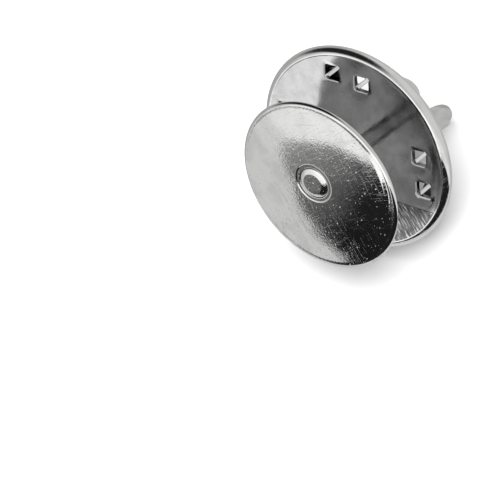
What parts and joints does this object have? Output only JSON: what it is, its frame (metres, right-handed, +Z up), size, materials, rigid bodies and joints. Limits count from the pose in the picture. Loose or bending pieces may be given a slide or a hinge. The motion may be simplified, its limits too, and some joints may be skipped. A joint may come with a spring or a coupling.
{
  "type": "pin back",
  "caption": "Pin back: a round glue-on pad with a pointed post, held by a round spring clutch with two squeeze wings.",
  "frame": {"origin": "centre of the bounding box on the table, with the pin back lying on its clutch's rim, one bridge end and one wing", "axes": "+Z up, +Y along the longest side, which is the diameter of the clutch's rim that lies level, +X towards the wings"},
  "size_m": [0.0104, 0.0114, 0.0103],
  "materials": {
    "pad_metal": "polished nickel plate, finely pitted and scratched",
    "clutch_metal": "polished nickel plate",
    "spring_metal": "polished nickel plate on spring brass"
  },
  "bodies": {
    "clutch": {"cap": "clutch_metal", "base_plate": "clutch_metal"},
    "tack": {"pad": "pad_metal", "post": "pad_metal"},
    "wing_left": {"arm_left": "spring_metal"},
    "wing_right": {"arm_right": "spring_metal"}
  },
  "joints": [
    {"name": "tack_pull", "type": "slide", "parent": "clutch", "child": "tack", "axis": [-0.7377, 0.0101, 0.675], "range_m": [0, 0.008]},
    {"name": "wing_left_squeeze", "type": "hinge", "parent": "clutch", "child": "wing_left", "pos_m": [0.00354, 0.00066, 0.00667], "axis": [-0.7085, 0, 0.7057], "range_deg": [0, 3.5], "stiffness_Nm_per_rad": 0.02},
    {"name": "wing_right_squeeze", "type": "hinge", "parent": "clutch", "child": "wing_right", "pos_m": [-0.00148, -0.00066, 0.00163], "axis": [-0.7085, 0, 0.7057], "range_deg": [0, 3.5], "stiffness_Nm_per_rad": 0.02}
  ]
}
